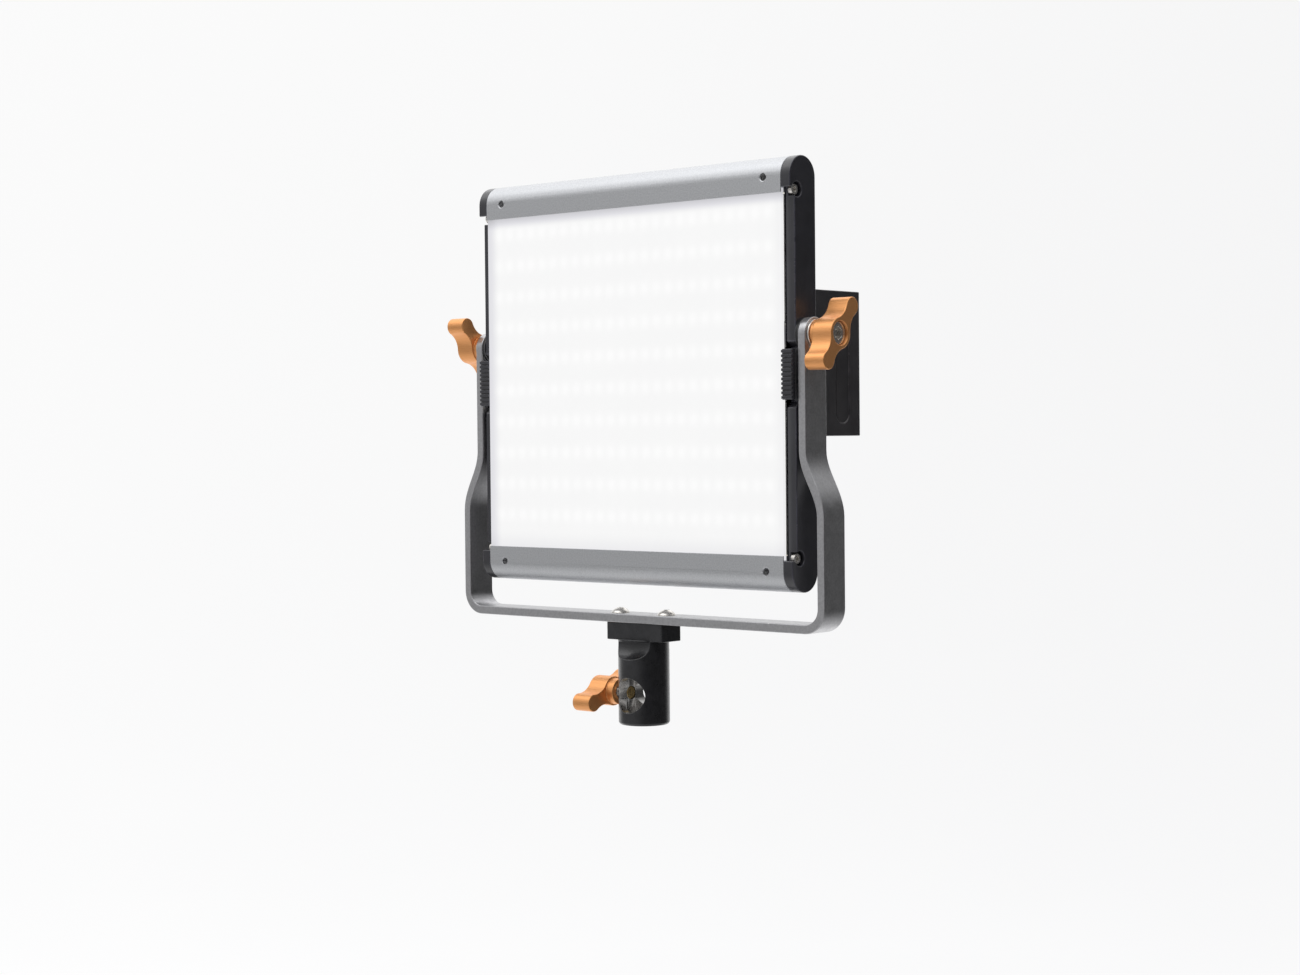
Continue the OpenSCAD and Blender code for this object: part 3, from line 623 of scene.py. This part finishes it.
def make_world():
    """Soft studio light, from the directions in STUDIO. The rest of the room is dark."""
    world = bpy.data.worlds.new("studio")
    world.use_nodes = True
    bpy.context.scene.world = world
    tree = world.node_tree
    split = tree.nodes.new("ShaderNodeVectorMath")
    split.operation = "NORMALIZE"
    tree.links.new(tree.nodes.new("ShaderNodeTexCoord").outputs["Generated"], split.inputs[0])

    def plus(a, b):
        node = tree.nodes.new("ShaderNodeMath")
        node.operation = "ADD"
        tree.links.new(a, node.inputs[0])
        if isinstance(b, bpy.types.NodeSocket):
            tree.links.new(b, node.inputs[1])
        else:
            node.inputs[1].default_value = b
        return node.outputs[0]

    def zone(direction, low, high, level):
        """level where the ray points along direction, 0 where it points away."""
        dot = tree.nodes.new("ShaderNodeVectorMath")
        dot.operation = "DOT_PRODUCT"
        tree.links.new(split.outputs[0], dot.inputs[0])
        dot.inputs[1].default_value = direction
        smooth = tree.nodes.new("ShaderNodeMapRange")
        smooth.interpolation_type = "SMOOTHSTEP"
        tree.links.new(dot.outputs["Value"], smooth.inputs["Value"])
        smooth.inputs["From Min"].default_value = low
        smooth.inputs["From Max"].default_value = high
        smooth.inputs["To Max"].default_value = level
        return smooth.outputs[0]

    total = ROOM_LEVEL
    for light in STUDIO:
        total = plus(zone(*light), total)
    background = tree.nodes["Background"]
    background.inputs["Color"].default_value = (1.0, 1.0, 1.0, 1)
    tree.links.new(total, background.inputs["Strength"])


def make_softbox(name, place, size, power, target):
    data = bpy.data.lights.new(name, "AREA")
    data.shape = "RECTANGLE"
    data.size, data.size_y = size
    data.energy = power
    light = bpy.data.objects.new(name, data)
    bpy.context.scene.collection.objects.link(light)
    direction = Vector(target) - Vector(place)
    light.location = place
    light.rotation_mode = "QUATERNION"
    light.rotation_quaternion = direction.to_track_quat("-Z", "Y")


# ---- the object's pieces ----

SOCKET_AXIS_Z = record["mounts"][1]["pos_m"][2]
SOCKET_RADIUS = record["mounts"][0]["dims"]["r_mm"] * MM
M6_RADIUS = 2.98 * MM
CAP_HEAD_LEN = 6 * MM
HOLE_X = 80.6 * MM
HOLE_Z = 86 * MM
SOCKET_TOP = 31 * MM
WALL_REACH = 0.05 * MM
M6_PITCH = 1.0 * MM


def in_bore(face):
    """True for the receiver's inner walls: the stand socket and the cross bore."""
    at = face.calc_center_median()
    near = SOCKET_RADIUS + WALL_REACH
    in_socket = math.hypot(at.x, at.y) < near and at.z < SOCKET_TOP
    in_cross = math.hypot(at.x, at.z - SOCKET_AXIS_Z) < near
    return in_socket or in_cross


def threaded_screw(node, direction):
    """A CAD screw whose plain shank becomes a threaded one. Its axis runs along X, and its head
    points along direction."""
    plain_neck, overlap, edge, flat = 0.4 * MM, 0.2 * MM, 0.20 * MM, 1e-7
    low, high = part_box(node)
    tip, head_end = (low.x, high.x) if direction > 0 else (high.x, low.x)
    shank_end = head_end - direction * (CAP_HEAD_LEN + plain_neck)
    axis = Vector((0, (low.y + high.y) / 2, (low.z + high.z) / 2))
    bm = cad_mesh(node)
    bmesh.ops.bisect_plane(
        bm, geom=bm.verts[:] + bm.edges[:] + bm.faces[:], dist=flat,
        plane_co=(shank_end, 0, 0), plane_no=(direction, 0, 0), clear_inner=True,
    )
    bmesh.ops.holes_fill(bm, edges=[e for e in bm.edges if e.is_boundary])
    soften(bm, edge)
    start, end = sorted((tip, shank_end + direction * overlap))
    rod = threaded_rod(start, end, M6_RADIUS, M6_PITCH)
    bmesh.ops.translate(rod, verts=rod.verts, vec=axis)
    merge(bm, rod)
    piece = finish_piece(bm, node + "_shape", BODY_OF[node], SLOT_OF[node], [SLOT_OF[node]])
    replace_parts(piece, node)


def make_bracket():
    rounded("u_bracket", 0.45 * MM)
    rounded("stand_receiver", 0.30 * MM, repaint=("bore_metal", in_bore))
    rounded("bracket_screws", 0.15 * MM)


def make_knobs():
    for side, direction in (("left", -1), ("right", 1)):
        rounded("tilt_knob_" + side, 0.40 * MM)
        threaded_screw("tilt_screw_" + side, direction)
        rounded("knob_washer_" + side, 0.15 * MM)
    rounded("clamp_knob", 0.40 * MM)
    threaded_screw("clamp_screw", -1)
    rounded("clamp_pad", 0.20 * MM)


def make_hole_collars(rail):
    """The drawn collars behind the two round holes in a rail's front wall."""
    low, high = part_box(rail)
    middle = (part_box("side_plate_left")[0].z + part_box("side_plate_left")[1].z) / 2
    z = middle + HOLE_Z * (1 if low.z > middle else -1)
    outer, inner, start, depth, sides = 2.3 * MM, 1.6 * MM, 1.1 * MM, 3.2 * MM, 40
    bm = bmesh.new()
    for x in (-HOLE_X, HOLE_X):
        tube = bmesh.new()
        add_ring(tube, outer, inner, depth, sides)
        bmesh.ops.translate(tube, verts=tube.verts, vec=(x, low.y + start, z))
        merge(bm, tube)
    finish_piece(bm, rail + "_collars", BODY_OF[rail], SLOT_OF[rail], ["collar_aluminium"])


def make_panel():
    for rail in ("top_rail", "bottom_rail"):
        rounded(rail, 0.2 * MM, first=countersink_front_holes)
        make_hole_collars(rail)
    for side in ("left", "right"):
        rounded("side_plate_" + side, 0.45 * MM)
        rounded("diffuser_grip_" + side, 0.10 * MM)
    rounded("rail_screws", 0.15 * MM)
    rounded("diffuser_sheet", 0.15 * MM)
    rounded("led_board", 0.1 * MM, repaint=("board_lit", lambda face: face.normal.y < -0.5))
    rounded("heat_plate", 0.1 * MM)
    rounded("back_cover", 0.25 * MM)
    rounded("cover_screws", 0.12 * MM)
    rounded("pivot_inserts", 0.15 * MM)
    rounded("friction_washers", 0.2 * MM)


def make_diodes(node, phosphor_name):
    """Each bar of the CAD row becomes single diodes: a white package with a round phosphor window."""
    low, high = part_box(node)
    package = Vector((3.4, 0.7, 2.8)) * MM
    package_edge = 0.12 * MM
    window_r, window_depth, window_edge, sunk, sides = 1.15 * MM, 0.12 * MM, 0.1 * MM, 0.02 * MM, 16
    one = bmesh.new()
    half_x, half_z = package.x / 2, package.z / 2
    add_block(one, (-half_x, -package.y, -half_z), (half_x, 0, half_z), package_edge)
    rim = window_r - window_edge
    disc = lathe([(0, 0), (0, window_r), (window_depth, rim), (window_depth, 0)], sides)
    bmesh.ops.rotate(disc, verts=disc.verts, matrix=Matrix.Rotation(-math.pi / 2, 3, "Z"))
    bmesh.ops.translate(disc, verts=disc.verts, vec=(0, -package.y + sunk, 0))
    merge(one, disc, 1)
    mesh = bpy.data.meshes.new("diode")
    one.to_mesh(mesh)
    one.free()
    bm = bmesh.new()
    for row in range(ROW_COUNT):
        for column in range(DIODE_COLUMNS):
            x = (column - (DIODE_COLUMNS - 1) / 2) * DIODE_PITCH
            z = high.z - (high.z - low.z - ROW_PITCH * (ROW_COUNT - 1)) / 2 - row * ROW_PITCH
            mesh.transform(Matrix.Translation((x, high.y, z)))
            bm.from_mesh(mesh)
            mesh.transform(Matrix.Translation((-x, -high.y, -z)))
    bpy.data.meshes.remove(mesh)
    piece = finish_piece(bm, node + "_diodes", BODY_OF[node], SLOT_OF[node], ["board_white", phosphor_name])
    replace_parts(piece, node)


def make_back():
    for node, width in {
        "console_housing": 0.5, "console_screws": 0.1, "display_window": 0.1, "display_module": 0.1,
        "driver_board": 0.1, "dial_sensors": 0.15, "switch_frame": 0.25, "dc_socket": 0.2, "dc_pin": 0.15,
        "battery_plate_left": 0.3, "battery_plate_right": 0.3, "battery_contacts": 0.08, "plate_screws": 0.12,
        "brightness_dial": 0.2, "colour_dial": 0.2, "brightness_shaft": 0.15, "colour_shaft": 0.15,
        "power_rocker": 0.35, "release_button_left": 0.4, "release_button_right": 0.4,
        "battery_cells_left": 0.4, "battery_cells_right": 0.4,
    }.items():
        rounded(node, width * MM)
    for side in ("left", "right"):
        rounded("battery_case_" + side, 0.45 * MM)
        rounded("battery_lid_" + side, 0.35 * MM)


SEGMENTS = {
    "0": "abcdef", "1": "bc", "2": "abged", "3": "abgcd", "4": "fgbc",
    "5": "afgcd", "6": "afgedc", "7": "abc", "8": "abcdefg", "9": "abcdfg",
}


DIGIT_WIDTH = 0.52  # of the digit's height
DIGIT_BAR = 0.11  # of the digit's height
DIGIT_STEP = 1.45  # from one digit to the next, of its width
BAR_GAP = 0.6  # left free at each end of a bar, of the bar's thickness


def make_digits(name, digits, left, z, height, y):
    """A row of seven-bar digits that glow on the display's window, read from behind the panel."""
    rise, edge = 0.06 * MM, 0.015 * MM
    width, bar = height * DIGIT_WIDTH, height * DIGIT_BAR
    spots = {
        "a": (0.5, 1, True), "g": (0.5, 0.5, True), "d": (0.5, 0, True),
        "f": (0, 0.75, False), "b": (1, 0.75, False), "e": (0, 0.25, False), "c": (1, 0.25, False),
    }
    bm = bmesh.new()
    for i, digit in enumerate(digits):
        for letter in SEGMENTS[digit]:
            along, up, level = spots[letter]
            x = left - i * width * DIGIT_STEP - along * width
            bar_z = z + up * height
            gap = bar * BAR_GAP
            half_x, half_z = (width / 2 - gap, bar / 2) if level else (bar / 2, height / 4 - gap)
            add_block(bm, (x - half_x, y, bar_z - half_z), (x + half_x, y + rise, bar_z + half_z), edge)
    finish_piece(bm, name, BODY_OF["display_window"], "display_glass", ["digit_glow"])


def make_display():
    left, low_z, low_height, top_z, top_height = 13 * MM, 2.4 * MM, 4.0 * MM, 8.6 * MM, 4.6 * MM
    window_low, window_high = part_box("display_window")
    make_digits("display_digits_top", "5600", left, window_low.z + top_z, top_height, window_high.y)
    make_digits("display_digits_low", "100", left, window_low.z + low_z, low_height, window_high.y)


MARK_EDGE = 0.02 * MM


def make_marks():
    """Scale marks round the two dials."""
    count, longer_each, sweep, gap = 11, 5, math.radians(300), 1.1 * MM
    half_width, rise, long_tick, short_tick = 0.16 * MM, 0.08 * MM, 1.5 * MM, 0.9 * MM
    face_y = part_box("console_housing")[1].y
    bm = bmesh.new()
    for node in ("brightness_dial", "colour_dial"):
        dial_low, dial_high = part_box(node)
        centre = (dial_low + dial_high) / 2
        radius = (dial_high.x - dial_low.x) / 2 + gap
        for i in range(count):
            angle = sweep * (i / (count - 1) - 0.5)
            length = short_tick if i % longer_each else long_tick
            tick = bmesh.new()
            add_block(tick, (-half_width, 0, 0), (half_width, rise, length), MARK_EDGE)
            bmesh.ops.translate(tick, verts=tick.verts, vec=(0, 0, radius))
            bmesh.ops.rotate(tick, verts=tick.verts, matrix=Matrix.Rotation(angle, 3, "Y"))
            bmesh.ops.translate(tick, verts=tick.verts, vec=(centre.x, face_y, centre.z))
            merge(bm, tick)
    finish_piece(bm, "dial_scale_marks", BODY_OF["console_housing"], "black_plastic", ["mark_white"])


def make_rocker_marks():
    """A bar on the rocker's upper half and a ring on its lower half."""
    off_middle, rise, ring_outer, ring_inner = 1.7 * MM, 0.06 * MM, 0.85 * MM, 0.55 * MM
    half_width, half_length, reach, slack = 0.14 * MM, 0.8 * MM, 0.5 * MM, 1e-6
    low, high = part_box("power_rocker")
    mid_z = (low.z + high.z) / 2
    mesh = nodes["power_rocker"].data

    def face_y(z):
        """Height of the rocker's outer face at z."""
        best = None
        for polygon in mesh.polygons:
            zs = [mesh.vertices[i].co.z for i in polygon.vertices]
            if polygon.normal.y > 0.5 and min(zs) - slack <= z <= max(zs) + slack:
                n, c = polygon.normal, polygon.center
                y = c.y - (n.z * (z - c.z)) / n.y
                best = y if best is None else max(best, y)
        return best

    bm = bmesh.new()
    for z, is_ring in ((mid_z + off_middle, False), (mid_z - off_middle, True)):
        y = face_y(z)
        lean = math.atan2(face_y(z + reach) - face_y(z - reach), 2 * reach)
        mark = bmesh.new()
        if is_ring:
            add_ring(mark, ring_outer, ring_inner, rise)
        else:
            add_block(mark, (-half_width, 0, -half_length), (half_width, rise, half_length), MARK_EDGE)
        bmesh.ops.rotate(mark, verts=mark.verts, matrix=Matrix.Rotation(-lean, 3, "X"))
        bmesh.ops.translate(mark, verts=mark.verts, vec=(0, y, z))
        merge(bm, mark)
    finish_piece(bm, "rocker_marks", BODY_OF["power_rocker"], SLOT_OF["power_rocker"], ["mark_white"])


def make_pack_gauge(side):
    """Four charge lamps and their button on the outer face of a battery pack."""
    drop, sunk, sides = 12 * MM, 0.3 * MM, 32
    lamp_count, lamp_pitch, first_lamp, lamp_radius, lamp_rise = 4, 3.4 * MM, -8 * MM, 0.9 * MM, 0.15 * MM
    button_x, button_radius, button_rise = 7.6 * MM, 2.4 * MM, 0.3 * MM
    shoulder, flat_top = 0.6, 0.72  # of a disc's rise, and of its radius
    low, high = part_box("battery_case_" + side)
    mid_x, z = (low.x + high.x) / 2, high.z - drop
    discs = [(first_lamp + lamp_pitch * i, lamp_radius, lamp_rise, 0) for i in range(lamp_count)]
    discs.append((button_x, button_radius, button_rise, 1))
    bm = bmesh.new()
    for x, radius, rise, material in discs:
        rim = [(-sunk, radius), (rise * shoulder, radius), (rise, radius * flat_top)]
        disc = lathe([(-sunk, 0), *rim, (rise, 0)], sides)
        bmesh.ops.rotate(disc, verts=disc.verts, matrix=Matrix.Rotation(math.pi / 2, 3, "Z"))
        bmesh.ops.translate(disc, verts=disc.verts, vec=(mid_x + x, high.y, z))
        merge(bm, disc, material)
    body = BODY_OF["battery_case_" + side]
    finish_piece(bm, "pack_gauge_" + side, body, SLOT_OF["battery_case_" + side], ["mark_white", "dark_part"])


make_camera()
make_backdrop()
make_world()
make_softbox("ceiling_softbox", (-0.2, -0.3, 1.3), (1.4, 1.4), 3, (0, 0, 0.12))
bpy.context.scene.view_settings.view_transform = "Standard"

make_bracket()
make_knobs()
make_panel()
make_diodes("cool_leds", "cool_phosphor")
make_diodes("warm_leds", "warm_phosphor")
make_back()
make_display()
make_marks()
make_rocker_marks()
for pack_side in ("left", "right"):
    make_pack_gauge(pack_side)
